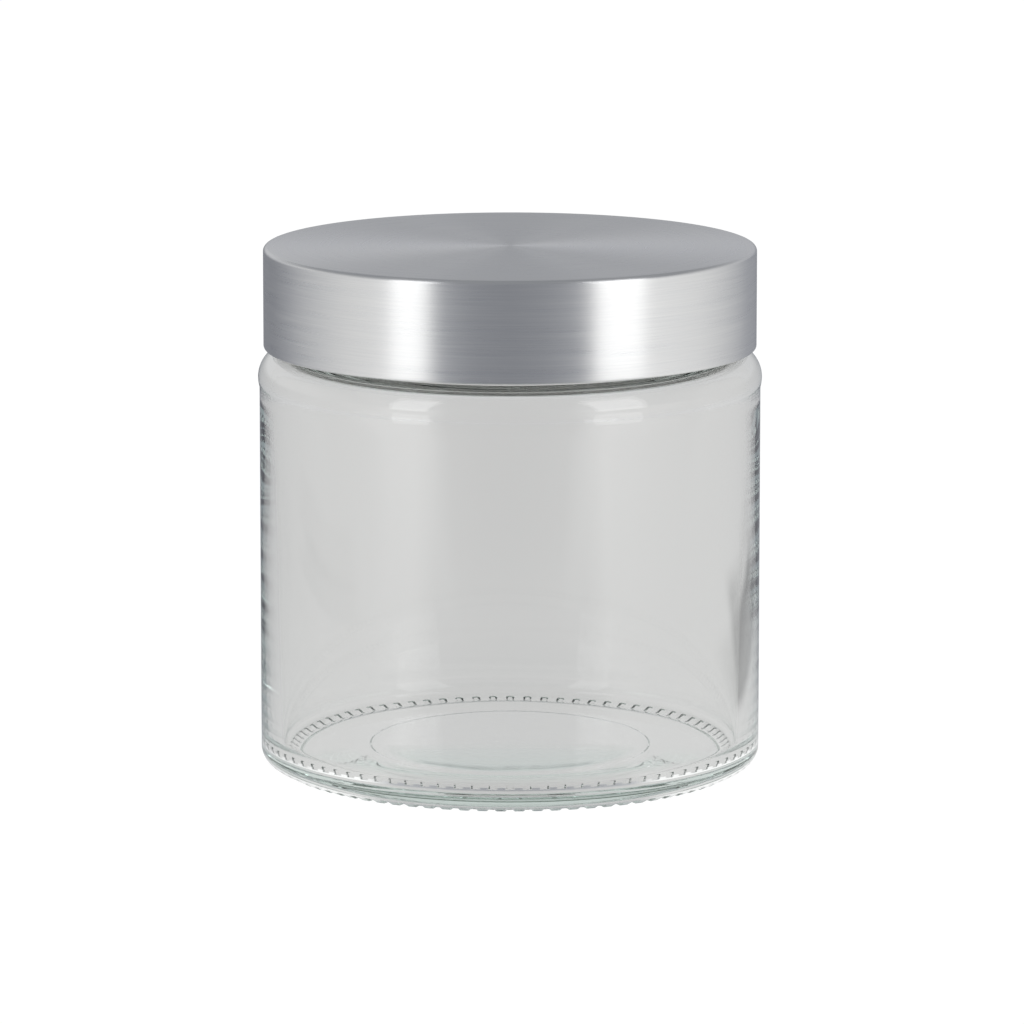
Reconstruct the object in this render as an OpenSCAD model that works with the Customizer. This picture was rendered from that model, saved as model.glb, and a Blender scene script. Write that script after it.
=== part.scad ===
// Glass storage jar with a brushed aluminium screw lid.
// Millimetres. The jar stands on the XY plane and its axis is +Z.

/* [Glass body] */
// Diameter of the glass at the widest point, the bead under the shoulder
body_d = 85; // [76:0.5:100]
// Height of that bead above the table
body_h = 66.8; // [40:0.2:140]
// Radius of the shoulder that curves in from the bead towards the neck
shoulder_r = 4.8; // [3:0.1:5.5]
// How far the straight side lies inside the bead, on the radius
panel_recess = 0.25; // [0.05:0.05:0.8]
// Glass thickness high up in the side
wall_top_t = 1.9; // [1.5:0.1:3]
// Glass thickness low down in the side, where the glass settles
wall_low_t = 3.4; // [2:0.1:4.5]

/* [Glass base] */
// Radius of the heel between the side and the underside
heel_r = 2.8; // [1.5:0.1:4]
// Slope of the underside from the heel down to the bearing ring, in degrees
heel_slope = 27; // [15:1:40]
// How far the ring that the jar stands on lies inside the straight side, on the radius
bearing_inset = 3.6; // [2.5:0.1:6]
// Width of that ring
bearing_w = 2.4; // [1.5:0.1:4]
// Height of the hollow in the underside, at its edge
hollow_h = 1.0; // [0.4:0.1:1.6]
// Diameter of the step in the middle of the hollow
step_d = 47; // [30:1:60]
// How much higher the hollow is inside that step
step_h = 0.5; // [0.2:0.1:0.8]
// Height of the inside floor above the table, at its edge
floor_h = 2.5; // [2.4:0.1:8]
// How much higher the floor is in the middle
floor_rise = 2; // [0.3:0.1:2.5]
// Radius between the inside floor and the side
floor_fillet = 4.2; // [2:0.1:9]
// Number of grip bars around the bearing ring
knurl_n = 80; // [40:1:100]
// Radius of the groove between two bars
knurl_r = 0.8; // [0.4:0.05:0.9]
// Depth of that groove
knurl_depth = 0.45; // [0.2:0.05:0.6]

/* [Neck and mouth] */
// Height of the neck above the shoulder
neck_h = 14.4; // [13:0.2:24]
// Glass thickness of the neck
neck_t = 2.5; // [2:0.1:3.5]
// Rounding of the rim, inside and outside
rim_round = 0.9; // [0.4:0.1:1]
// Radius where the mouth opens into the body
throat_r = 2.6; // [1:0.1:4]

/* [Thread] */
// Number of thread starts
thread_starts = 4; // [3:1:6]
// How far the lid rises in one full turn
thread_lead = 16; // [12:0.5:18]
// Sweep of each thread around the neck, in degrees
thread_sweep = 100; // [70:5:110]
// Height of the glass thread above the neck
thread_h = 1.6; // [1:0.1:1.8]
// Height above the shoulder of the middle of the glass thread's low end
thread_z = 4.2; // [3.8:0.1:5]
// Free space above and below the thread in its channel
thread_gap = 0.3; // [0.2:0.05:0.5]
// Free space between a thread's crest and the wall it faces
crest_gap = 0.4; // [0.3:0.05:0.6]

/* [Lid] */
// Thickness of the lid's aluminium sheet
sheet_t = 0.45; // [0.3:0.05:0.8]
// Outside radius of the lid's top edge
lid_edge_r = 0.75; // [0.5:0.05:2]
// Width of the hem rolled in at the lid's lower edge
hem_w = 1.5; // [1:0.1:1.6]
// Height of the rolled hem
hem_h = 0.9; // [0.6:0.1:1.4]
// Free space between the hem and the top of the shoulder
lid_gap = 0.2; // [0.2:0.1:2]
// Thickness of the thread ring's wall
insert_t = 1.35; // [1:0.05:2]
// Thickness of the web that closes the thread ring at the top
web_t = 1.2; // [0.8:0.1:2]
// Free space between the thread ring and the sheet around it
sheet_gap = 0.05; // [0.05:0.05:0.2]
// Thickness of the sealing disc
liner_t = 1.2; // [0.8:0.1:2.5]
// Free space around the sealing disc
liner_gap = 0.4; // [0.3:0.1:1]

/* [Hidden] */
$fn = 180;

// How deep a joined or cut shape reaches past the face that it meets
bite = 0.5;
// Degrees of turn in one straight piece of a thread
thread_step = 8;
// Degrees over which a thread runs out at each end
thread_run_out = 14;
// Difference in width between a thread's foot and its crest
thread_flank = 1;

// Radii of the glass
body_r = body_d / 2;
panel_r = body_r - panel_recess;
neck_r = body_r - shoulder_r;
mouth_r = neck_r - neck_t;
thread_r = neck_r + thread_h;
inner_top_r = panel_r - wall_top_t;
inner_low_r = panel_r - wall_low_t;

// Heights of the glass
shoulder_z = body_h + shoulder_r;
rim_z = shoulder_z + neck_h;

// The heel is an arc that meets the side and, below, the sloping underside
bearing_r = panel_r - bearing_inset;
heel_x = panel_r - heel_r;
heel_low_x = heel_x + heel_r * sin(heel_slope);
heel_low_z = (heel_low_x - bearing_r) * tan(heel_slope);
heel_z = heel_low_z + heel_r * cos(heel_slope);

// Thread: the channel's pitch leaves room for both threads and their gaps
pitch = thread_lead / thread_starts;
thread_w = pitch / 2 - thread_gap;
glass_thread_z = shoulder_z + thread_z;
insert_thread_z = glass_thread_z - pitch / 2;

// Lid, worked out from the threads outwards and from the rim upwards
insert_inner_r = thread_r + crest_gap;
insert_crest_r = neck_r + crest_gap;
insert_r = insert_inner_r + insert_t;
lid_r = insert_r + sheet_gap + sheet_t;
lid_z = shoulder_z + lid_gap;
insert_z = lid_z + hem_h;
liner_z = rim_z + liner_t;
insert_top_z = liner_z + web_t;
lid_top_z = insert_top_z + sheet_gap + sheet_t;

// A circle placed in a half section
module round_at(x, z, r) {
    translate([x, z]) circle(r);
}

// The piece that rounds off the glass where a hollow opens wider at height z
module flare_at(x, z, r) {
    difference() {
        translate([x - bite, z - r]) square([r + bite, r]);
        round_at(x + r, z - r, r);
    }
}

// Half section of the glass with nothing hollowed out
module glass_outline() {
    polygon([
        [0, 0],
        [bearing_r, 0],
        [heel_low_x, heel_low_z],
        [panel_r, heel_z],
        [panel_r, body_h],
        [neck_r, shoulder_z],
        [0, shoulder_z],
    ]);
    round_at(heel_x, heel_z, heel_r);
    round_at(neck_r, body_h, shoulder_r);
    square([neck_r, rim_z - rim_round]);
    square([neck_r - rim_round, rim_z]);
    round_at(neck_r - rim_round, rim_z - rim_round, rim_round);
}

// Half section of the room inside the glass
module cavity_outline() {
    throat_z = body_h + shoulder_r - wall_top_t;
    dome_r = (pow(inner_low_r, 2) + pow(floor_rise, 2)) / (2 * floor_rise);
    inner_round = shoulder_r - wall_top_t;
    inner_x = inner_top_r - inner_round;
    difference() {
        union() {
            polygon([
                [0, floor_h],
                [inner_low_r - floor_fillet, floor_h],
                [inner_low_r, floor_h + floor_fillet],
                [inner_top_r, throat_z - inner_round],
                [inner_x, throat_z],
                [0, throat_z],
            ]);
            round_at(inner_low_r - floor_fillet, floor_h + floor_fillet, floor_fillet);
            round_at(inner_x, throat_z - inner_round, inner_round);
        }
        translate([0, floor_h + floor_rise - dome_r]) circle(dome_r);
    }
    square_z = floor_h + floor_rise + floor_fillet;
    translate([0, square_z]) square([mouth_r, rim_z - square_z + bite]);
    difference() {
        translate([mouth_r - bite, throat_z - bite]) square([throat_r + bite, throat_r + bite]);
        round_at(mouth_r + throat_r, throat_z + throat_r, throat_r);
    }
    flare_at(mouth_r, rim_z, rim_round);
}

// Half section of the hollow in the underside, with its step
module underside_outline() {
    hollow_r = bearing_r - bearing_w;
    polygon([
        [0, -bite],
        [hollow_r + bite, -bite],
        [hollow_r, 0],
        [hollow_r - hollow_h, hollow_h],
        [0, hollow_h + step_h],
    ]);
    square([step_d / 2, hollow_h + step_h]);
}

// The grooves between the grip bars, cut outwards through the heel
module knurl_grooves() {
    groove_in_r = bearing_r - bearing_w / 2;
    groove_z = knurl_depth - knurl_r;
    for (i = [0:knurl_n - 1])
        rotate([0, 0, i * 360 / knurl_n])
            translate([groove_in_r, 0, groove_z])
                rotate([0, 90, 0])
                    cylinder(r = knurl_r, h = body_r - groove_in_r, $fn = 32);
}

// How far a thread stands up at turn a: it runs out at both ends
function run_out(a) = min(1, (min(a, thread_sweep - a) + 1) / thread_run_out);

// One section of a thread at turn a, its foot at radius foot_r and its crest at crest_r
function thread_section(a, foot_r, crest_r) =
    let (
        r = foot_r + (crest_r - foot_r) * run_out(a),
        z = a * thread_lead / 360,
        foot_w = thread_w + thread_flank / 2,
        crest_w = foot_w - thread_flank * run_out(a)
    )
    [for (p = [[foot_r, -foot_w], [r, -crest_w], [r, crest_w], [foot_r, foot_w]])
        [p[0] * cos(a), p[0] * sin(a), z + p[1] / 2]];

// One thread, rising anticlockwise from turn 0
module thread(foot_r, crest_r) {
    steps = ceil(thread_sweep / thread_step);
    sections = [for (i = [0:steps]) thread_section(i * thread_sweep / steps, foot_r, crest_r)];
    points = [for (s = sections) for (p = s) p];
    sides = [for (i = [0:steps - 1]) for (j = [0:3])
        let (a = 4 * i + j, b = 4 * i + (j + 1) % 4)
        each [[a, b, b + 4], [a, b + 4, a + 4]]];
    last = 4 * steps;
    ends = [[0, 2, 1], [0, 3, 2], [last, last + 1, last + 2], [last, last + 2, last + 3]];
    inward = crest_r < foot_r;
    polyhedron(points, [for (f = concat(sides, ends)) inward ? [f[2], f[1], f[0]] : f]);
}

// All the threads, with the middle of their low ends at height z
module threads(foot_r, crest_r, z) {
    for (i = [0:thread_starts - 1])
        rotate([0, 0, i * 360 / thread_starts])
            translate([0, 0, z])
                thread(foot_r, crest_r);
}

module glass_jar() {
    color([0.80, 0.86, 0.84, 0.45]) {
        difference() {
            rotate_extrude() glass_outline();
            rotate_extrude() cavity_outline();
            rotate_extrude() underside_outline();
            knurl_grooves();
        }
        threads(neck_r - bite, thread_r, glass_thread_z);
    }
}

// Moulded ring that carries the lid's thread, closed by a web on top
module thread_insert() {
    corner = lid_edge_r;
    color([0.93, 0.93, 0.91]) {
        rotate_extrude() {
            difference() {
                polygon([
                    [0, insert_z],
                    [insert_r, insert_z],
                    [insert_r, insert_top_z - corner],
                    [insert_r - corner, insert_top_z],
                    [0, insert_top_z],
                ]);
                translate([0, insert_z - bite]) square([insert_inner_r, liner_z - insert_z + bite]);
            }
        }
        threads(insert_inner_r + bite, insert_crest_r, insert_thread_z);
    }
}

// Soft disc that lies on the rim
module seal_liner() {
    color([0.97, 0.97, 0.96])
        translate([0, 0, rim_z])
            cylinder(r = insert_inner_r - liner_gap, h = liner_t);
}

// Drawn aluminium cap with a hem rolled in under the thread ring
module lid_shell() {
    inner_r = lid_r - sheet_t;
    inner_edge_r = lid_edge_r - sheet_t;
    inner_top_z = lid_top_z - sheet_t;
    color([0.76, 0.77, 0.78])
        rotate_extrude() {
            difference() {
                union() {
                    translate([0, lid_z + hem_h / 2]) square([lid_r, lid_top_z - lid_edge_r - lid_z - hem_h / 2]);
                    square_z = lid_top_z - lid_edge_r - bite;
                    translate([0, square_z]) square([lid_r - lid_edge_r, lid_top_z - square_z]);
                    round_at(lid_r - lid_edge_r, lid_top_z - lid_edge_r, lid_edge_r);
                }
                translate([0, lid_z]) square([inner_r, inner_top_z - inner_edge_r - lid_z]);
                translate([0, lid_z]) square([inner_r - inner_edge_r, inner_top_z - lid_z]);
                round_at(inner_r - inner_edge_r, inner_top_z - inner_edge_r, inner_edge_r);
            }
            round_at(lid_r - hem_h / 2, lid_z + hem_h / 2, hem_h / 2);
            translate([lid_r - hem_w, lid_z + hem_h - sheet_t]) square([hem_w - hem_h / 2, sheet_t]);
        }
}

glass_jar();
thread_insert();
seal_liner();
lid_shell();
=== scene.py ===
# %% [markdown]
# # A glass storage jar with a brushed aluminium lid
# The imported CAD model is the frame: it says where every body is and how the lid moves. This script
# rebuilds the two pieces that are seen, the glass and the lid's metal, as finer meshes in the same
# place, and gives all four pieces their finish. The box of the CAD model is kept.

# %% Load the frame
import math

import bmesh
import bpy
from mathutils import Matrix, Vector


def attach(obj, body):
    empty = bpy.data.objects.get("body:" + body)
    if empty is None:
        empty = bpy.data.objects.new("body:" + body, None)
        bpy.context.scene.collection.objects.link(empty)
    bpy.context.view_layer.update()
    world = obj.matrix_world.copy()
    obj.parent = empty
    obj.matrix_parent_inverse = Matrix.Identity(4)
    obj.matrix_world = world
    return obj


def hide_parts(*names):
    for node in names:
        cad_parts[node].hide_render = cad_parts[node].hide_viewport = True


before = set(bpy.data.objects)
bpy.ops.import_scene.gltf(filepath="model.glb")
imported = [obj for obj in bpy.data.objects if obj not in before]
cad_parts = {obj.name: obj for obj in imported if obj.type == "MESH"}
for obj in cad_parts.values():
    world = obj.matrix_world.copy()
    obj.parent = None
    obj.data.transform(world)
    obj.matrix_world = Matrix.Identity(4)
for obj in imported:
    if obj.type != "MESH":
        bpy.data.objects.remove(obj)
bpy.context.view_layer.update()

MM = 0.001

# %% [markdown]
# ## Sizes
# A jar is turned about one axis, so nearly every size is a radius or a height. They are the same
# sizes as in the CAD source, in millimetres, and the meshes are scaled to metres as they are made.

# %% Sizes of the glass
BODY_H = 66.8  # height of the bead under the shoulder, the widest place
SHOULDER_R = 4.8  # radius of the shoulder's curve
NECK_R = 37.7
PANEL_R = 42.25  # the straight side, a little inside the bead
SHOULDER_Z = 71.6
RIM_Z = 86.0
RIM_ROUND = 0.9
MOUTH_R = 35.2
THROAT_Z = 69.7  # where the mouth opens into the body
THROAT_R = 2.6
INNER_TOP_R = 40.35  # inside of the wall, high up
INNER_TOP_ROUND = 2.9
INNER_LOW_R = 38.85  # inside of the wall, low down, where the glass is thicker
FLOOR_FILLET = 4.2
FLOOR_H = 2.5  # inside floor above the table, at its edge
FLOOR_RISE = 2.0  # how much higher the floor is in the middle
BEARING_R = 38.65  # outer edge of the ring that the jar stands on
HOLLOW_R = 36.25  # inner edge of that ring
HOLLOW_H = 1.0
STEP_R = 23.5
STEP_TOP = 1.5
HEEL_R = 2.8
HEEL_SLOPE = math.radians(27)
print("glass is", 2 * (NECK_R + SHOULDER_R), "mm wide and", RIM_Z, "mm high")

# %% Sizes of the lid
LID_R = 41.55
LID_Z = 71.8
LID_TOP = 88.9
LID_EDGE_R = 0.75
SHEET_T = 0.45
HEM_H = 0.9
HEM_W = 1.5
print("lid is", 2 * LID_R, "mm wide and", round(LID_TOP - LID_Z, 2), "mm high")

# %% [markdown]
# ## Turning a shape
# The screw modifier or a spin can turn a profile, but the base ring needs four times as many
# columns as the rest to hold its fine grooves. So the rings are laid here by hand: each point of
# the half section becomes a ring, neighbouring rings are joined by quads, and where a coarse ring
# meets a fine one each quad becomes a small fan. Points on the axis close the shape as poles.

# %% Arcs and rounded corners of a half section
def arc(x, z, r, start, end, steps):
    """Points on a circle about (x, z), with angles in degrees."""
    points = []
    for i in range(steps + 1):
        a = math.radians(start + (end - start) * i / steps)
        points.append((x + r * math.cos(a), z + r * math.sin(a)))
    return points


def rounded(before, corner, after, r, steps):
    """The points that round off one corner of an outline by radius r."""
    c = Vector(corner)
    u = (Vector(before) - c).normalized()
    v = (Vector(after) - c).normalized()
    half = u.angle(v) / 2
    reach = r / math.tan(half)
    middle = c + (u + v).normalized() * (r / math.sin(half))
    p = c + u * reach - middle
    q = c + v * reach - middle
    points = []
    for i in range(steps + 1):
        t = i / steps
        w = (p * (1 - t) + q * t).normalized() * r + middle
        points.append((w.x, w.y))
    return points


print("a quarter circle in 4 steps has", len(arc(0, 0, 1, 0, 90, 4)), "points")

# %% Runs of points joined to one outline
SAME_POINT = 0.004  # points closer than this are one


def line(a, b, spacing):
    """Points between a and b, without a and b, about spacing apart."""
    count = max(1, round((Vector(b) - Vector(a)).length / spacing))
    return [
        (a[0] + (b[0] - a[0]) * i / count, a[1] + (b[1] - a[1]) * i / count)
        for i in range(1, count)
    ]


def joined(parts, spacing):
    """Joins runs of points, filling the gaps between them at the spacing given."""
    outline = list(parts[0])
    for part in parts[1:]:
        outline += line(outline[-1], part[0], spacing)
        outline += part
    clean = [outline[0]]
    for p in outline[1:]:
        if (Vector(p) - Vector(clean[-1])).length > SAME_POINT:
            clean.append(p)
    return clean


print("10 mm filled at 2.5 mm gets", len(line((0, 0), (10, 0), 2.5)), "points between its ends")

# %% Rings to a closed mesh
COLUMNS = 360
FINER = 4  # how many columns of a fine ring meet one of a coarse ring
ON_AXIS = 1e-6  # a smaller radius is a pole


def turned(name, outline, columns, is_fine=None, shift=None):
    """A closed shape turned about Z, with more columns where is_fine says so."""
    verts = []
    faces = []
    rings = []
    for index, (r, z) in enumerate(outline):
        if r < ON_AXIS:
            verts.append((0, 0, z * MM))
            rings.append([len(verts) - 1])
            continue
        count = columns * (FINER if is_fine and is_fine(r, z) else 1)
        ring = []
        for k in range(count):
            a = 2 * math.pi * k / count
            rr = r + (shift(index, a, z) if shift else 0)
            verts.append((rr * math.cos(a) * MM, rr * math.sin(a) * MM, z * MM))
            ring.append(len(verts) - 1)
        rings.append(ring)
    for low, high in zip(rings, rings[1:]):
        join_rings(low, high, faces)
    mesh = bpy.data.meshes.new(name)
    mesh.from_pydata(verts, [], faces)
    bm = bmesh.new()
    bm.from_mesh(mesh)
    bmesh.ops.recalc_face_normals(bm, faces=bm.faces)
    bm.to_mesh(mesh)
    bm.free()
    mesh.shade_smooth()
    piece = bpy.data.objects.new(name, mesh)
    bpy.context.scene.collection.objects.link(piece)
    return piece


def join_rings(a, b, faces):
    """Faces between two rings that have 1, n or FINER times n points."""
    if len(a) > len(b):
        a, b = b, a
    n = len(a)
    m = len(b)
    if n == 1:
        for k in range(m):
            faces.append((a[0], b[k], b[(k + 1) % m]))
    elif n == m:
        for k in range(n):
            faces.append((a[k], a[(k + 1) % n], b[(k + 1) % m], b[k]))
    else:
        for k in range(n):
            left = a[k]
            right = a[(k + 1) % n]
            f = [b[(FINER * k + j) % m] for j in range(FINER + 1)]
            faces += [(left, f[0], f[1]), (left, f[1], f[2]), (left, f[2], right)]
            faces += [(right, f[2], f[3]), (right, f[3], f[4])]


print("rings have", COLUMNS, "columns, and", COLUMNS * FINER, "where they are fine")

# %% [markdown]
# ## The glass blank
# A pressed and blown jar is thin at the shoulder and thick at the base, where the glass settles,
# and its inside was never touched by a mould, so it is slightly wavy. That waviness bends what is
# seen through the wall, so it is in the mesh and not only in a bump map. It is kept very small
# here: larger waves trap light in the wall and make its edges black. The outline runs from the
# middle of the underside, out over the base ring, up the side, over the rim and back inside.

# %% Underside and the ring that the jar stands on
STEP_LEAN = 0.3  # how far the step's foot lies outside its edge
STEP_FOOT_Z = 1.17
STEP_ROUND = 0.16
STEP_FOOT_ROUND = 0.2
HOLLOW_ROUND = 0.7
RING_ROUND = 0.5
RING_END_R = 40.7  # the fine rings end here, on the heel's slope


def slope_z(r):
    """Height of the underside's outer slope at a radius."""
    return (r - BEARING_R) * math.tan(HEEL_SLOPE)


step_edge = (STEP_R, STEP_TOP)
step_foot = (STEP_R + STEP_LEAN, STEP_FOOT_Z)
hollow_edge = (HOLLOW_R - HOLLOW_H, HOLLOW_H)
ring_inside = (HOLLOW_R, 0)
ring_outside = (BEARING_R, 0)
heel_corner = (PANEL_R, slope_z(PANEL_R))
underside = joined([
    [(0, STEP_TOP)],
    rounded((0, STEP_TOP), step_edge, step_foot, STEP_ROUND, 4),
    rounded(step_edge, step_foot, hollow_edge, STEP_FOOT_ROUND, 4),
    rounded(step_foot, hollow_edge, ring_inside, HOLLOW_ROUND, 5),
], spacing=2.5)
base_ring = joined([
    rounded(hollow_edge, ring_inside, ring_outside, RING_ROUND, 4),
    rounded(ring_inside, ring_outside, heel_corner, RING_ROUND, 3),
    [(RING_END_R, slope_z(RING_END_R))],
], spacing=0.28)
print("underside:", len(underside), "rings, base ring:", len(base_ring), "rings")

# %% Side, neck and rim
BEAD_BLEND = 3  # degrees left to a straight run between the side and the bead
SHOULDER_END = 84  # degrees at which the shoulder's arc stops short of the neck
bead_z = BODY_H - math.sqrt(SHOULDER_R ** 2 - (PANEL_R - NECK_R) ** 2)
bead_start = math.degrees(math.atan2(bead_z - BODY_H, PANEL_R - NECK_R))
neck_foot = (NECK_R, SHOULDER_Z + 0.4)
neck_top = (NECK_R, RIM_Z - RIM_ROUND - 2.5)
side = joined([
    rounded(ring_outside, heel_corner, (PANEL_R, BODY_H), HEEL_R, 12),
    [(PANEL_R, bead_z)],
    arc(NECK_R, BODY_H, SHOULDER_R, bead_start + BEAD_BLEND, SHOULDER_END, 20),
    [(NECK_R + 0.12, SHOULDER_Z + 0.1), neck_foot],
], spacing=3.0)
neck = joined([[neck_foot], [neck_top]], spacing=0.36)
rim = joined([
    [neck_top],
    arc(NECK_R - RIM_ROUND, RIM_Z - RIM_ROUND, RIM_ROUND, 0, 90, 8),
    arc(MOUTH_R + RIM_ROUND, RIM_Z - RIM_ROUND, RIM_ROUND, 90, 180, 8),
], spacing=1.0)
print("side:", len(side), "rings, neck:", len(neck), "rings, rim:", len(rim), "rings")

# %% Inside of the glass
FLOOR_EDGE = 36.0  # where the fillet meets the domed floor
FLOOR_FIRST = 0.4  # from that edge to the floor's first ring
FLOOR_SPACING = 2.5
FLOOR_RINGS = 14
THROAT_END = 264  # degrees at which the throat's arc gives way to the body's
INNER_TOP_START = 86
dome_r = (INNER_LOW_R ** 2 + FLOOR_RISE ** 2) / (2 * FLOOR_RISE)
wall_top = (INNER_TOP_R, THROAT_Z - INNER_TOP_ROUND)
wall_foot = (INNER_LOW_R, FLOOR_H + FLOOR_FILLET)
fillet_x = INNER_LOW_R - FLOOR_FILLET
fillet_start = math.degrees(math.acos((FLOOR_EDGE - fillet_x) / FLOOR_FILLET))
top_round_x = INNER_TOP_R - INNER_TOP_ROUND
throat = joined([
    arc(MOUTH_R + THROAT_R, THROAT_Z + THROAT_R, THROAT_R, 180, THROAT_END, 9),
    arc(top_round_x, wall_top[1], INNER_TOP_ROUND, INNER_TOP_START, 0, 10),
], spacing=0.8)
wall = joined([[wall_top], [wall_foot]], spacing=4.0)
fillet = arc(fillet_x, wall_foot[1], FLOOR_FILLET, 0, -fillet_start, 12)
floor_radii = [FLOOR_EDGE - FLOOR_FIRST - FLOOR_SPACING * i for i in range(FLOOR_RINGS)] + [0]
glass_floor = [(r, FLOOR_H + FLOOR_RISE - r * r / (2 * dome_r)) for r in floor_radii]
outline = joined([underside, base_ring, side, neck, rim, throat, wall, fillet, glass_floor], spacing=3.0)
inside_from = outline.index(throat[0])
print("half section:", len(outline), "points, inside from point", inside_from)

# %% Waviness of the inside
# Each wave has its count round the jar, its twist in radians per mm of height, its size in mm and
# the angle that it starts from.
WAVES = [
    (3, 0.050, 0.0120, 0.7),
    (5, -0.085, 0.0120, 2.1),
    (8, 0.13, 0.0084, 4.0),
    (13, -0.05, 0.0036, 1.2),
]
WAVES_FROM_Z = 3.9
WAVES_FADE = 6  # height over which the waves fade in, and out again
FINE_TOP_Z = 1.3
FINE_FROM_R = 36.9
FINE_TO_R = 41.0


def waviness(index, angle, z):
    """How far the untouched inside of the wall swells or sinks, in mm."""
    if index < inside_from or z < WAVES_FROM_Z or z > THROAT_Z:
        return 0
    fade = min(1, (z - WAVES_FROM_Z) / WAVES_FADE) * min(1, (THROAT_Z - z) / WAVES_FADE)
    total = 0
    for count, twist, size, start in WAVES:
        total += size * math.sin(count * angle + twist * z + start)
    return total * fade


def in_base_ring(r, z):
    """Where the rings are fine enough for the grip grooves."""
    return z < FINE_TOP_Z and FINE_FROM_R < r < FINE_TO_R


glass_blank = turned("glass_blank", outline, COLUMNS, in_base_ring, waviness)
print("glass blank:", len(glass_blank.data.polygons), "faces")

# %% [markdown]
# ## Glass finish
# Clear soda-lime glass is a smooth dielectric with an index of 1.52. What makes it look like glass
# and not like plastic is the faint green of long paths through it, so the colour sits in a volume
# and not on the surface. The glass lets shadow rays through, because a path tracer can't find a
# lamp through a refracting wall by itself, and the jar would otherwise cast a black shadow.

# %% A short way to write node trees
def node(tree, kind, **settings):
    """A node; in_Base_Color or in_0 fills that input, and any other key is a property."""
    made = tree.nodes.new(kind)
    for key, value in settings.items():
        if not key.startswith("in_"):
            setattr(made, key, value)
            continue
        name = key[3:]
        socket = made.inputs[int(name) if name.isdigit() else name.replace("_", " ")]
        if isinstance(value, bpy.types.NodeSocket):
            tree.links.new(value, socket)
        else:
            socket.default_value = value
    return made


def calc(tree, operation, *values, clamp=False):
    """One sum, given numbers or sockets."""
    made = tree.nodes.new("ShaderNodeMath")
    made.operation = operation
    made.use_clamp = clamp
    for i, value in enumerate(values):
        if isinstance(value, (int, float)):
            made.inputs[i].default_value = value
        else:
            tree.links.new(value, made.inputs[i])
    return made.outputs[0]


print("node helpers:", node.__name__, calc.__name__)

# %% Helpers for ranges, places and new finishes
def ranged(tree, value, start, end, low, high):
    """A value carried from the range start to end over to the range low to high."""
    return node(tree, "ShaderNodeMapRange", in_Value=value, in_From_Min=start, in_From_Max=end,
                in_To_Min=low, in_To_Max=high).outputs[0]


def edge(tree, value, start, end):
    """A soft step from 0 at start to 1 at end."""
    return node(tree, "ShaderNodeMapRange", interpolation_type="SMOOTHSTEP", in_Value=value,
                in_From_Min=start, in_From_Max=end).outputs[0]


def place_on(tree):
    """The point of the piece that is shaded, in metres."""
    return node(tree, "ShaderNodeTexCoord").outputs["Object"]


def finish_named(name):
    """An empty material and its tree, with only the output node in it."""
    material = bpy.data.materials.new(name)
    material.use_nodes = True
    tree = material.node_tree
    tree.nodes.clear()
    return material, tree, node(tree, "ShaderNodeOutputMaterial")


print("more helpers:", ranged.__name__, edge.__name__, place_on.__name__, finish_named.__name__)

# %% Clear glass
GLASS_IOR = 1.52
GLASS_GREEN = (0.75, 0.94, 0.86, 1)
GREEN_DENSITY = 7.0
SHADOW_TINT = (0.93, 0.95, 0.94, 1)
clear_glass, tree, output = finish_named("clear_glass")
coords = place_on(tree)
ripple = node(tree, "ShaderNodeTexNoise", in_Vector=coords, in_Scale=55.0, in_Detail=1.0)
ripple_bump = node(tree, "ShaderNodeBump", in_Strength=0.06, in_Distance=0.0006,
                   in_Height=ripple.outputs["Fac"])
smudge = node(tree, "ShaderNodeTexNoise", in_Vector=coords, in_Scale=120.0, in_Detail=4.0)
smudge_rough = ranged(tree, smudge.outputs["Fac"], 0.55, 0.8, 0.0, 0.03)
glass = node(tree, "ShaderNodeBsdfPrincipled", in_Base_Color=(1, 1, 1, 1), in_IOR=GLASS_IOR,
             in_Transmission_Weight=1.0, in_Roughness=smudge_rough,
             in_Normal=ripple_bump.outputs["Normal"])
passing = node(tree, "ShaderNodeBsdfTransparent", in_Color=SHADOW_TINT)
lit = node(tree, "ShaderNodeMixShader", in_0=node(tree, "ShaderNodeLightPath").outputs["Is Shadow Ray"],
           in_1=glass.outputs[0], in_2=passing.outputs[0])
green = node(tree, "ShaderNodeVolumeAbsorption", in_Color=GLASS_GREEN, in_Density=GREEN_DENSITY)
tree.links.new(lit.outputs[0], output.inputs["Surface"])
tree.links.new(green.outputs[0], output.inputs["Volume"])
print("glass:", len(tree.nodes), "nodes")

# %% [markdown]
# ## Grip grooves and thread
# The base has 80 short half-round grooves, pressed through the ring that the jar stands on, and
# the neck has a quick thread in four starts. Both follow a rule of the angle about the axis, so
# Geometry Nodes raise and sink the blank's points by that rule. Cutting 80 cylinders with booleans
# gives far worse faces, which would show as flaws in clear glass. The grooves follow the heel's
# slope a little further up than the CAD source's level ones, and the thread is rounder and a
# twentieth of a millimetre lower.

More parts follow.
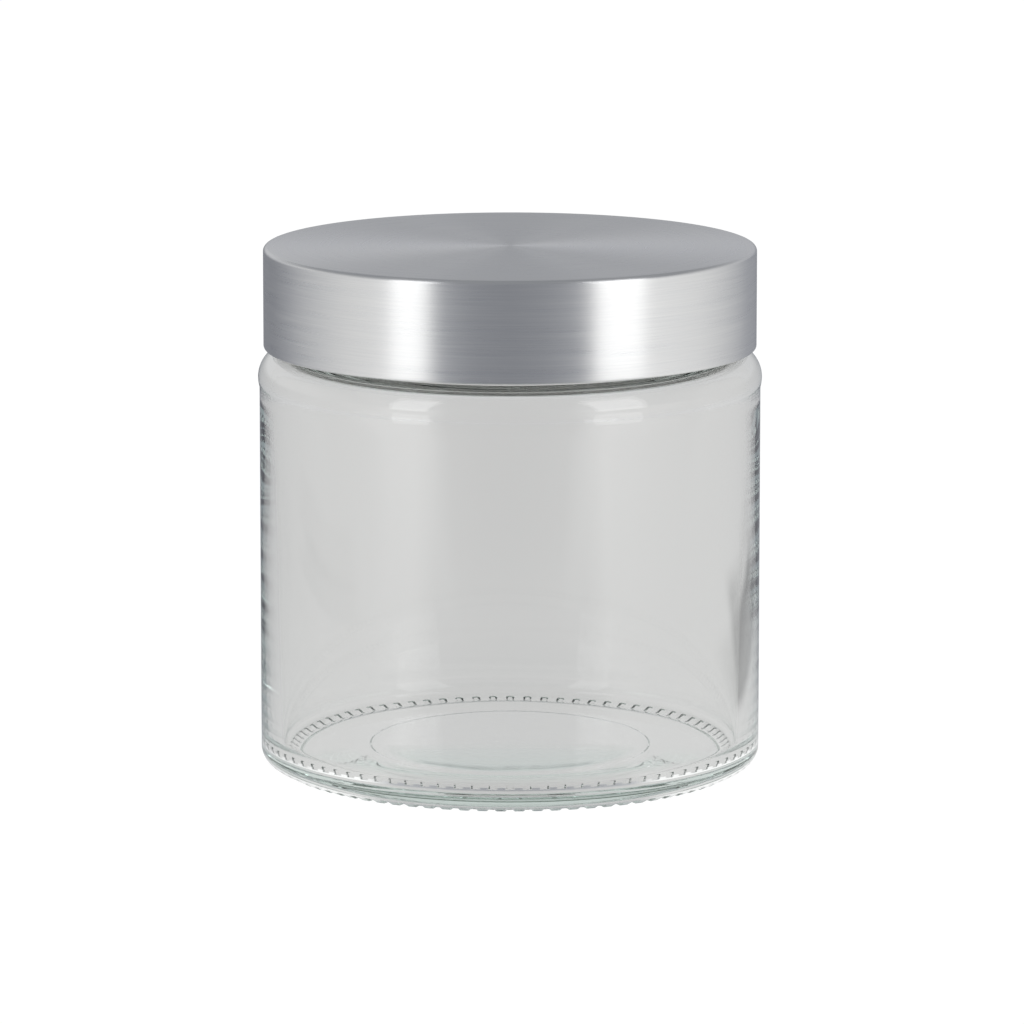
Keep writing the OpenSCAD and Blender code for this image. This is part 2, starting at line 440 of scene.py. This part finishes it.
# %% The tree that moulds the blank
mould = bpy.data.node_groups.new("mould_grip_and_thread", "GeometryNodeTree")
mould.interface.new_socket("Geometry", in_out="INPUT", socket_type="NodeSocketGeometry")
mould.interface.new_socket("Geometry", in_out="OUTPUT", socket_type="NodeSocketGeometry")
MOULD_SIZES = {
    "Groove Count": 80.0,
    "Groove Radius": 0.8,
    "Groove Depth": 0.45,
    "Groove Inner Radius": 37.45,
    "Groove Outer Radius": 40.4,
    "Groove Inner Run": 0.2,
    "Groove Outer Run": 0.4,
    "Groove Ceiling": 2.2,
    "Thread Starts": 4.0,
    "Thread Lead": 16.0,
    "Thread Sweep": 100.0,
    "Thread Run Out": 14.0,
    "Thread Height": 1.55,
    "Thread Foot": 1.1,
    "Thread Crest": 0.45,
    "Thread Start Height": 75.8,
    "Neck Skin Radius": NECK_R - 0.05,
    "Neck Start Height": 72.2,
}
for name in MOULD_SIZES:
    mould.interface.new_socket(name, in_out="INPUT", socket_type="NodeSocketFloat")
mould.interface.new_socket("Material", in_out="INPUT", socket_type="NodeSocketMaterial")
sizes = node(mould, "NodeGroupInput").outputs
print("mould has", len(MOULD_SIZES), "named sizes")

# %% Where each point of the blank lies
def work(operation, *values, clamp=False):
    """One sum in the mould's tree."""
    return calc(mould, operation, *values, clamp=clamp)


place = node(mould, "ShaderNodeSeparateXYZ", in_0=node(mould, "GeometryNodeInputPosition").outputs[0])
x = work("MULTIPLY", place.outputs[0], 1000)
y = work("MULTIPLY", place.outputs[1], 1000)
z = work("MULTIPLY", place.outputs[2], 1000)
radius = work("SQRT", work("ADD", work("MULTIPLY", x, x), work("MULTIPLY", y, y)))
turn = work("DIVIDE", work("ARCTAN2", y, x), 2 * math.pi)
print("the tree so far has", len(mould.nodes), "nodes")

# %% Grooves: how far each point lies from the middle of its groove
groove_r = sizes["Groove Radius"]
nearest = work("PINGPONG", work("MULTIPLY", work("ADD", turn, 1), sizes["Groove Count"]), 0.5)
groove_pitch = work("DIVIDE", work("MULTIPLY", radius, 2 * math.pi), sizes["Groove Count"])
away = work("MULTIPLY", nearest, groove_pitch)
chord = work("SUBTRACT", work("MULTIPLY", groove_r, groove_r), work("MULTIPLY", away, away))
arch = work("SQRT", work("MAXIMUM", chord, 0))
roof = work("SUBTRACT", work("ADD", sizes["Groove Depth"], arch), groove_r)
past_inner = work("SUBTRACT", radius, sizes["Groove Inner Radius"])
starts = work("DIVIDE", past_inner, sizes["Groove Inner Run"], clamp=True)
before_outer = work("SUBTRACT", sizes["Groove Outer Radius"], radius)
runs_out = work("DIVIDE", before_outer, sizes["Groove Outer Run"], clamp=True)
is_low = work("LESS_THAN", z, sizes["Groove Ceiling"])
on_ring = work("MULTIPLY", work("MULTIPLY", starts, runs_out), is_low)
lift = work("MULTIPLY", work("MAXIMUM", roof, 0), on_ring)
print("grooves are", round(2 * math.pi * BEARING_R / MOULD_SIZES["Groove Count"], 2), "mm apart")

# %% Thread: the height of the ridge at each point of the neck
per_start = work("DIVIDE", 360, sizes["Thread Starts"])
angle = work("MULTIPLY", work("ADD", turn, 1), 360)
first_turn = work("FLOORED_MODULO", angle, per_start)


def ridge(at_turn):
    """Share of the ridge's height at a turn from the thread's low end: it runs out at both ends."""
    rise = work("MULTIPLY", at_turn, work("DIVIDE", sizes["Thread Lead"], 360))
    middle = work("ADD", sizes["Thread Start Height"], rise)
    off = work("ABSOLUTE", work("SUBTRACT", z, middle))
    bell = edge(mould, off, sizes["Thread Foot"], sizes["Thread Crest"])
    ends = work("MINIMUM", at_turn, work("SUBTRACT", sizes["Thread Sweep"], at_turn))
    run_out = work("DIVIDE", ends, sizes["Thread Run Out"], clamp=True)
    return work("MULTIPLY", bell, run_out)


ridges = work("MAXIMUM", ridge(first_turn), ridge(work("ADD", first_turn, per_start)))
on_neck = work("MULTIPLY", work("GREATER_THAN", radius, sizes["Neck Skin Radius"]),
               work("GREATER_THAN", z, sizes["Neck Start Height"]))
swell = work("MULTIPLY", work("MULTIPLY", ridges, on_neck), sizes["Thread Height"])
outward = work("DIVIDE", swell, work("MAXIMUM", radius, 1))
print("the tree so far has", len(mould.nodes), "nodes")

# %% Move the points and give them the glass
moved = node(mould, "ShaderNodeCombineXYZ", in_0=work("MULTIPLY", work("MULTIPLY", x, outward), MM),
             in_1=work("MULTIPLY", work("MULTIPLY", y, outward), MM), in_2=work("MULTIPLY", lift, MM))
shape = node(mould, "GeometryNodeSetPosition", in_Geometry=sizes["Geometry"], in_Offset=moved.outputs[0])
whole = node(mould, "GeometryNodeRealizeInstances", in_Geometry=shape.outputs[0])
finished = node(mould, "GeometryNodeSetMaterial", in_Geometry=whole.outputs[0], in_Material=sizes["Material"])
node(mould, "NodeGroupOutput", in_Geometry=finished.outputs[0])
print("mould tree:", len(mould.nodes), "nodes")

# %% Mould the blank and keep the plain mesh
def moulded(blank, tree, values, name):
    """Runs a tree on a blank and returns the result as a plain mesh object."""
    modifier = blank.modifiers.new("mould", "NODES")
    modifier.node_group = tree
    for item in tree.interface.items_tree:
        if item.in_out == "INPUT" and item.name in values:
            modifier[item.identifier] = values[item.name]
    bpy.context.view_layer.update()
    evaluated = blank.evaluated_get(bpy.context.evaluated_depsgraph_get())
    mesh = bpy.data.meshes.new_from_object(evaluated)
    piece = bpy.data.objects.new(name, mesh)
    bpy.context.scene.collection.objects.link(piece)
    blank.modifiers.remove(modifier)
    bpy.data.objects.remove(blank)
    return piece


glass_body = moulded(glass_blank, mould, MOULD_SIZES | {"Material": clear_glass}, "jar_glass")
glass_body.data.set_sharp_from_angle(angle=math.radians(55))
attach(glass_body, "jar")
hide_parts("glass_jar")
print("glass:", sum(len(p.vertices) - 2 for p in glass_body.data.polygons), "triangles")

# %% [markdown]
# ## The lid's metal
# The cap is drawn from thin aluminium sheet. Its top edge is a tight bend, and its lower edge is
# rolled in as a hem that hides the cut edge. The bend is where most of the light changes, so it
# gets many rings, while the flat top and the straight side need few.

# %% Turn the lid
HEM_ROUND = 0.1
hem_x = LID_R - HEM_H / 2
hem_z = LID_Z + HEM_H / 2
hem_top = LID_Z + HEM_H
lid_inner = LID_R - SHEET_T
inner_edge_r = LID_EDGE_R - SHEET_T
lip_in = LID_R - HEM_W
lid_outline = joined([
    [(0, LID_TOP)],
    arc(LID_R - LID_EDGE_R, LID_TOP - LID_EDGE_R, LID_EDGE_R, 90, 0, 14),
    arc(hem_x, hem_z, HEM_H / 2, 0, -180, 16),
    rounded((hem_x, hem_z), (lip_in, hem_z), (lip_in, hem_top), HEM_ROUND, 3),
    rounded((lip_in, hem_z), (lip_in, hem_top), (hem_x, hem_top), HEM_ROUND, 3),
    [(lid_inner, hem_top)],
    arc(lid_inner - inner_edge_r, LID_TOP - SHEET_T - inner_edge_r, inner_edge_r, 0, 90, 6),
    [(0, LID_TOP - SHEET_T)],
], spacing=3.0)
lid_metal = turned("lid_metal", lid_outline, COLUMNS)
lid_metal.data.set_sharp_from_angle(angle=math.radians(50))
print("lid:", len(lid_metal.data.polygons), "faces")

# %% [markdown]
# ## Brushed aluminium
# The lid was spun against an abrasive pad, so its scratches run round it, on the side as on the
# top. Each scratch spreads light across itself: the lamps become upright bands on the side and a
# faint bow tie on the top. The anisotropic input does that, with its direction turned a quarter
# from the radial tangent. Lines in the bump and in the roughness give the scratches themselves.

# %% Coordinates that run round the lid
FINE_PER_METRE = 5200.0
BROAD_PER_METRE = 1100.0
LEAST_R = 0.0005  # keeps the middle of the lid from dividing by nothing
aluminium, tree, output = finish_named("brushed_aluminium")
spot = node(tree, "ShaderNodeSeparateXYZ", in_0=place_on(tree))
x_squared = calc(tree, "MULTIPLY", spot.outputs[0], spot.outputs[0])
y_squared = calc(tree, "MULTIPLY", spot.outputs[1], spot.outputs[1])
from_axis = calc(tree, "SQRT", calc(tree, "ADD", x_squared, y_squared))
safe_axis = calc(tree, "MAXIMUM", from_axis, LEAST_R)
cosine = calc(tree, "DIVIDE", spot.outputs[0], safe_axis)
sine = calc(tree, "DIVIDE", spot.outputs[1], safe_axis)
across = calc(tree, "SUBTRACT", from_axis, spot.outputs[2])


def round_lines(tree, per_turn, per_metre, detail):
    """Noise drawn out round the axis, so that it becomes scratches."""
    way = node(tree, "ShaderNodeCombineXYZ", in_0=calc(tree, "MULTIPLY", cosine, per_turn),
               in_1=calc(tree, "MULTIPLY", sine, per_turn), in_2=calc(tree, "MULTIPLY", across, per_metre))
    noise = node(tree, "ShaderNodeTexNoise", in_Vector=way.outputs[0], in_Scale=1.0, in_Detail=detail)
    return noise.outputs["Fac"]


fine_lines = round_lines(tree, 3.0, FINE_PER_METRE, 3.0)
broad_lines = round_lines(tree, 1.6, BROAD_PER_METRE, 2.0)
print("lines about", round(1000 / FINE_PER_METRE, 2), "and", round(1000 / BROAD_PER_METRE, 2), "mm apart")

# %% Metal from the lines
FINE_SHARE = 0.6
LINE_LOW = 0.3
LINE_HIGH = 0.7
DARK_METAL = (0.73, 0.735, 0.74, 1)
LIGHT_METAL = (0.85, 0.85, 0.84, 1)
lines = calc(tree, "ADD", calc(tree, "MULTIPLY", fine_lines, FINE_SHARE),
             calc(tree, "MULTIPLY", broad_lines, 1 - FINE_SHARE))
tone = node(tree, "ShaderNodeValToRGB", in_Fac=lines)
tone.color_ramp.elements[0].position = LINE_LOW
tone.color_ramp.elements[0].color = DARK_METAL
tone.color_ramp.elements[1].position = LINE_HIGH
tone.color_ramp.elements[1].color = LIGHT_METAL
line_rough = ranged(tree, lines, LINE_LOW, LINE_HIGH, 0.25, 0.36)
line_bump = node(tree, "ShaderNodeBump", in_Strength=0.18, in_Distance=0.00003, in_Height=lines)
around = node(tree, "ShaderNodeTangent", direction_type="RADIAL", axis="Z")
metal = node(tree, "ShaderNodeBsdfPrincipled", in_Metallic=1.0, in_Anisotropic=0.85,
             in_Anisotropic_Rotation=0.25, in_Base_Color=tone.outputs[0], in_Roughness=line_rough,
             in_Normal=line_bump.outputs[0], in_Tangent=around.outputs[0])
tree.links.new(metal.outputs[0], output.inputs["Surface"])
lid_metal.data.materials.append(aluminium)
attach(lid_metal, "lid")
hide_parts("lid_shell")
print("aluminium:", len(tree.nodes), "nodes")

# %% [markdown]
# ## Inside the lid
# The thread ring is moulded polypropylene: white, a little waxy, with the faint texture of the
# mould. The seal is closed-cell foam, softer in its shine, with fine cells that show close up.
# Both keep their CAD shapes and only get their finish here.

# %% Moulded plastic and foam
PLASTIC_IOR = 1.49
CLOUD_SCALE = 60.0
ROUGH_SPREAD = 0.06


def inner_finish(name, low, high, roughness, cell_scale, depth):
    """A matt material with a cloudy tone, and with its bump and roughness from fine cells."""
    material, tree, output = finish_named(name)
    where = place_on(tree)
    cells = node(tree, "ShaderNodeTexNoise", in_Vector=where, in_Scale=cell_scale, in_Detail=3.0)
    cloud = node(tree, "ShaderNodeTexNoise", in_Vector=where, in_Scale=CLOUD_SCALE, in_Detail=2.0)
    tint = node(tree, "ShaderNodeMix", data_type="RGBA", in_Factor=cloud.outputs["Fac"],
                in_6=(*low, 1), in_7=(*high, 1))
    grain = node(tree, "ShaderNodeBump", in_Strength=0.4, in_Distance=depth, in_Height=cells.outputs["Fac"])
    soft = ranged(tree, cells.outputs["Fac"], 0, 1, roughness - ROUGH_SPREAD, roughness + ROUGH_SPREAD)
    surface = node(tree, "ShaderNodeBsdfPrincipled", in_IOR=PLASTIC_IOR, in_Base_Color=tint.outputs[2],
                   in_Roughness=soft, in_Normal=grain.outputs[0])
    tree.links.new(surface.outputs[0], output.inputs["Surface"])
    return material


def give(part, material):
    """Puts one material on a CAD piece."""
    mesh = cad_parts[part].data
    mesh.materials.clear()
    mesh.materials.append(material)


white_plastic = inner_finish("white_plastic", low=(0.84, 0.84, 0.81), high=(0.90, 0.90, 0.88),
                             roughness=0.42, cell_scale=1500.0, depth=0.00004)
seal_foam = inner_finish("seal_foam", low=(0.87, 0.87, 0.84), high=(0.94, 0.94, 0.92),
                         roughness=0.68, cell_scale=3200.0, depth=0.00012)
give("thread_insert", white_plastic)
give("seal_liner", seal_foam)
print("finishes:", white_plastic.name, seal_foam.name)

# %% [markdown]
# ## The room as polished things see it
# Metal and glass show the room around them more than any colour of their own. The levels go round
# the horizon in degrees, with 0 towards the camera and 90 to its right. They aren't the design of
# a room: the side of the lid was sampled in the photo at 22 columns of one row, and apart from the
# two ends each level follows one of those samples, a little raised, at the bearing that the lid
# mirrors there. That is a fault. A second row of levels is for the room higher up,
# which the lid's top reflects. It was adjusted over several renders.

# %% Levels round the horizon
BACKDROP = 0.65
ROOM = [(-180, 0.24), (-159, 0.24), (-140, 0.24), (-123, 0.34), (-98, 0.62), (-79, 0.83), (-62, 0.95),
        (-54, 1.10), (-42, 1.12), (-37, 0.85), (-31, 0.42), (-15, 0.30), (0, 0.28), (15, 0.31), (32, 0.42),
        (37, 0.72), (42, 1.08), (60, 1.08), (77, 1.02), (96, 0.90), (119, 0.64), (141, 0.38), (159, 0.32),
        (180, 0.24)]
UPPER_ROOM = [(-180, 0.50), (-170, 0.62), (-140, 0.62), (-110, 0.80), (-60, 0.65), (-35, 0.38), (0, 0.28),
              (35, 0.38), (60, 0.60), (110, 0.70), (150, 0.50), (170, 0.50), (180, 0.50)]
BLUE_BELOW = 0.75  # levels under this get a little blue
BLUE = 0.07


def level_ramp(tree, direction, levels):
    """A ramp of grey levels over the bearing of a direction or place, a little blue where dark."""
    bearing = calc(tree, "ARCTAN2", direction[0], calc(tree, "MULTIPLY", direction[1], -1))
    share = calc(tree, "ADD", calc(tree, "DIVIDE", bearing, 2 * math.pi), 0.5)
    ramp = node(tree, "ShaderNodeValToRGB", in_Fac=share)
    stops = ramp.color_ramp.elements
    while len(stops) < len(levels):
        stops.new(0.5)
    for stop, (degrees, level) in zip(stops, levels):
        stop.position = degrees / 360 + 0.5
        blue = BLUE * max(0, BLUE_BELOW - level)
        stop.color = (level * (1 - blue), level, level * (1 + 3 * blue), 1)
    return ramp.outputs[0]


print("room has", len(ROOM), "levels round the horizon and", len(UPPER_ROOM), "higher up")

# %% [markdown]
# ## Floor
# The jar stands on a pale floor that reads as white. Only part of that white comes from the lamps:
# the rest is given to camera rays alone, so the jar needs no more light. That share is so large
# here that the jar's soft shadow is lost in the white. A smaller share would let it show.
# Metal and glass see the floor in two other ways. Mirror rays get the room's levels, as they would
# from a shiny table. Rays bent by the glass get one plain backdrop on the far side of the jar, with
# a darker card to its right, meant for the dark band in the right edge of the glass. Those two are
# a photographer's tricks, and a real floor of this colour would not do them.

# %% A floor, and the places on it
FLOOR_WIDE = 9.0  # metres to each side
FLOOR_NEAR = 3.0
FLOOR_FAR = 18.0
BEHIND = (-0.15, 0.0)  # where the backdrop fades in, from the camera's side backwards
# The card lies right of the axis and behind it. Each border is a place to fade from and one to
# fade to, in metres.
CARD_LEFT = (0.062, 0.074)
CARD_RIGHT = (0.125, 0.105)
CARD_NEAR = (0.01, 0.03)
CARD_FAR = (0.15, 0.11)
floor_mesh = bpy.data.meshes.new("floor")
floor_mesh.from_pydata([(-FLOOR_WIDE, -FLOOR_NEAR, 0), (FLOOR_WIDE, -FLOOR_NEAR, 0),
                        (FLOOR_WIDE, FLOOR_FAR, 0), (-FLOOR_WIDE, FLOOR_FAR, 0)], [], [(0, 1, 2, 3)])
floor = bpy.data.objects.new("floor", floor_mesh)
bpy.context.scene.collection.objects.link(floor)
paper, tree, output = finish_named("pale_floor")
floor_x, floor_y, _ = node(tree, "ShaderNodeSeparateXYZ", in_0=place_on(tree)).outputs
ring = level_ramp(tree, (floor_x, floor_y), ROOM)
behind = edge(tree, floor_y, *BEHIND)
card_width = calc(tree, "MULTIPLY", edge(tree, floor_x, *CARD_LEFT), edge(tree, floor_x, *CARD_RIGHT))
card_depth = calc(tree, "MULTIPLY", edge(tree, floor_y, *CARD_NEAR), edge(tree, floor_y, *CARD_FAR))
card = calc(tree, "MULTIPLY", card_width, card_depth)
print("floor is", 2 * FLOOR_WIDE, "m wide")

# %% Three looks of the floor, one for each kind of ray
CARD_DARK = 0.6
CAMERA_WHITE = 1.1
CAMERA_SHARE = 0.9
GLASS_SHARE = 0.93
METAL_SHARE = 0.95
PAPER = (0.80, 0.80, 0.80, 1)
BACKDROP_TINT = (1.0, 0.995, 0.985, 1)
rays = node(tree, "ShaderNodeLightPath").outputs
matt = node(tree, "ShaderNodeBsdfDiffuse", in_Color=PAPER)
bright = node(tree, "ShaderNodeEmission", in_Color=(1, 1, 1, 1), in_Strength=CAMERA_WHITE)
for_camera = node(tree, "ShaderNodeMixShader",
                  in_0=calc(tree, "MULTIPLY", rays["Is Camera Ray"], CAMERA_SHARE),
                  in_1=matt.outputs[0], in_2=bright.outputs[0])
past_card = calc(tree, "SUBTRACT", 1, calc(tree, "MULTIPLY", card, CARD_DARK))
far_level = calc(tree, "MULTIPLY", past_card, BACKDROP)
near_level = calc(tree, "MULTIPLY", calc(tree, "SUBTRACT", 1, behind), ring)
backdrop_level = calc(tree, "ADD", calc(tree, "MULTIPLY", far_level, behind), near_level)
through = node(tree, "ShaderNodeEmission", in_Color=BACKDROP_TINT, in_Strength=backdrop_level)
for_glass = node(tree, "ShaderNodeMixShader",
                 in_0=calc(tree, "MULTIPLY", rays["Is Transmission Ray"], GLASS_SHARE),
                 in_1=for_camera.outputs[0], in_2=through.outputs[0])
mirrored = node(tree, "ShaderNodeEmission", in_Color=ring, in_Strength=1.0)
mirror_only = calc(tree, "SUBTRACT", rays["Is Glossy Ray"], rays["Is Transmission Ray"], clamp=True)
for_metal = node(tree, "ShaderNodeMixShader", in_0=calc(tree, "MULTIPLY", mirror_only, METAL_SHARE),
                 in_1=for_glass.outputs[0], in_2=mirrored.outputs[0])
tree.links.new(for_metal.outputs[0], output.inputs["Surface"])
floor_mesh.materials.append(paper)
print("floor:", len(tree.nodes), "nodes")

# %% [markdown]
# ## Light
# Two upright softboxes stand in front, left and right, and leave a darker gap behind the camera:
# that gap is the grey middle of the lid. The room is drawn in the world as a ramp round the
# horizon, bright at both sides and dark behind, because polished things show the room around them.

# %% Softboxes
SOFTBOX_AIM = Vector((0, 0, 0.05))
SOFTBOX_FAR = 0.75
SOFTBOX_HIGH = 0.62
SOFTBOX_Z = 0.33
SOFTBOX_RADIANCE = 1.3


def softbox(name, degrees, width):
    """An area lamp at an angle from the camera's side, facing the jar."""
    lamp = bpy.data.lights.new(name, "AREA")
    lamp.shape = "RECTANGLE"
    lamp.size = width
    lamp.size_y = SOFTBOX_HIGH
    lamp.energy = SOFTBOX_RADIANCE * math.pi * width * SOFTBOX_HIGH
    box = bpy.data.objects.new(name, lamp)
    a = math.radians(degrees)
    box.location = (SOFTBOX_FAR * math.sin(a), -SOFTBOX_FAR * math.cos(a), SOFTBOX_Z)
    box.rotation_euler = (SOFTBOX_AIM - box.location).to_track_quat("-Z", "Y").to_euler()
    box.visible_camera = False
    bpy.context.scene.collection.objects.link(box)
    print(name, round(lamp.energy, 2), "W")


softbox("left_softbox", degrees=-46, width=0.26)
softbox("right_softbox", degrees=51, width=0.36)

# %% The room round the jar
OVERHEAD = (0.31, 0.32, 0.34, 1)
UPPER_FADE = (-0.02, 0.15)  # the height of a direction, from 0 at the horizon to 1 overhead
OVERHEAD_FADE = (0.25, 0.65)
room = bpy.data.worlds.new("studio")
bpy.context.scene.world = room
room.use_nodes = True
tree = room.node_tree
tree.nodes.clear()
toward = node(tree, "ShaderNodeTexCoord").outputs["Generated"]
way_x, way_y, way_z = node(tree, "ShaderNodeSeparateXYZ", in_0=toward).outputs
low_room = level_ramp(tree, (way_x, way_y), ROOM)
high_room = level_ramp(tree, (way_x, way_y), UPPER_ROOM)
upper = node(tree, "ShaderNodeMix", data_type="RGBA", in_Factor=edge(tree, way_z, *OVERHEAD_FADE),
             in_6=high_room, in_7=OVERHEAD)
walls = node(tree, "ShaderNodeMix", data_type="RGBA", in_Factor=edge(tree, way_z, *UPPER_FADE),
             in_6=low_room, in_7=upper.outputs[2])
print("walls of the room:", len(tree.nodes), "nodes")

# %% What glass and camera see of the room
BACKDROP_FADE = (-0.5, 0.0)
rays = node(tree, "ShaderNodeLightPath").outputs
bent_back = calc(tree, "MULTIPLY", rays["Is Transmission Ray"], edge(tree, way_y, *BACKDROP_FADE))
through = node(tree, "ShaderNodeMix", data_type="RGBA", in_Factor=bent_back,
               in_6=walls.outputs[2], in_7=(BACKDROP, BACKDROP, BACKDROP, 1))
seen = node(tree, "ShaderNodeMix", data_type="RGBA", in_Factor=rays["Is Camera Ray"],
            in_6=through.outputs[2], in_7=(1, 1, 1, 1))
backdrop = node(tree, "ShaderNodeBackground", in_Color=seen.outputs[2], in_Strength=1.0)
node(tree, "ShaderNodeOutputWorld", in_Surface=backdrop.outputs[0])
print("room nodes:", len(tree.nodes))

# %% [markdown]
# ## Camera
# The photo was taken with a long lens from about ten degrees above the horizon: the lid's top is a
# thin ellipse and the sides barely converge. The distance, height and lens were fitted to the
# outline of the jar, and a small shift puts it where the photo has it.

# %% Camera
IMAGE = 1024  # width and height of the photo in pixels
JAR_X = 510  # the pixel that the aimed point falls on
JAR_Y = 505.6
DISTANCE = 1.25
ELEVATION = math.radians(10.1)
camera = bpy.data.objects.new("camera", bpy.data.cameras.new("camera"))
bpy.context.scene.collection.objects.link(camera)
target = Vector((0, 0, LID_TOP * MM / 2))
camera.location = target + DISTANCE * Vector((0, -math.cos(ELEVATION), math.sin(ELEVATION)))
camera.rotation_euler = (target - camera.location).to_track_quat("-Z", "Y").to_euler()
camera.data.sensor_width = 36
camera.data.lens = 259.6
camera.data.shift_x = (IMAGE / 2 - JAR_X) / IMAGE
camera.data.shift_y = (JAR_Y - IMAGE / 2) / IMAGE
camera.data.clip_end = 60
print("camera at", [round(v, 3) for v in camera.location])

# %% [markdown]
# ## Light paths
# Light crosses four faces of glass on its way through the jar, and near the edges it is thrown to
# and fro inside the wall many times. Where a path is cut short the glass turns black, so the paths
# may be long.

# %% Light paths
LONG_PATH = 48
scene = bpy.context.scene
scene.camera = camera
scene.view_settings.view_transform = "Standard"
scene.cycles.use_denoising = True
scene.cycles.max_bounces = LONG_PATH
scene.cycles.transmission_bounces = LONG_PATH
scene.cycles.transparent_max_bounces = 32
scene.cycles.glossy_bounces = 32
print("a path may turn", LONG_PATH, "times")
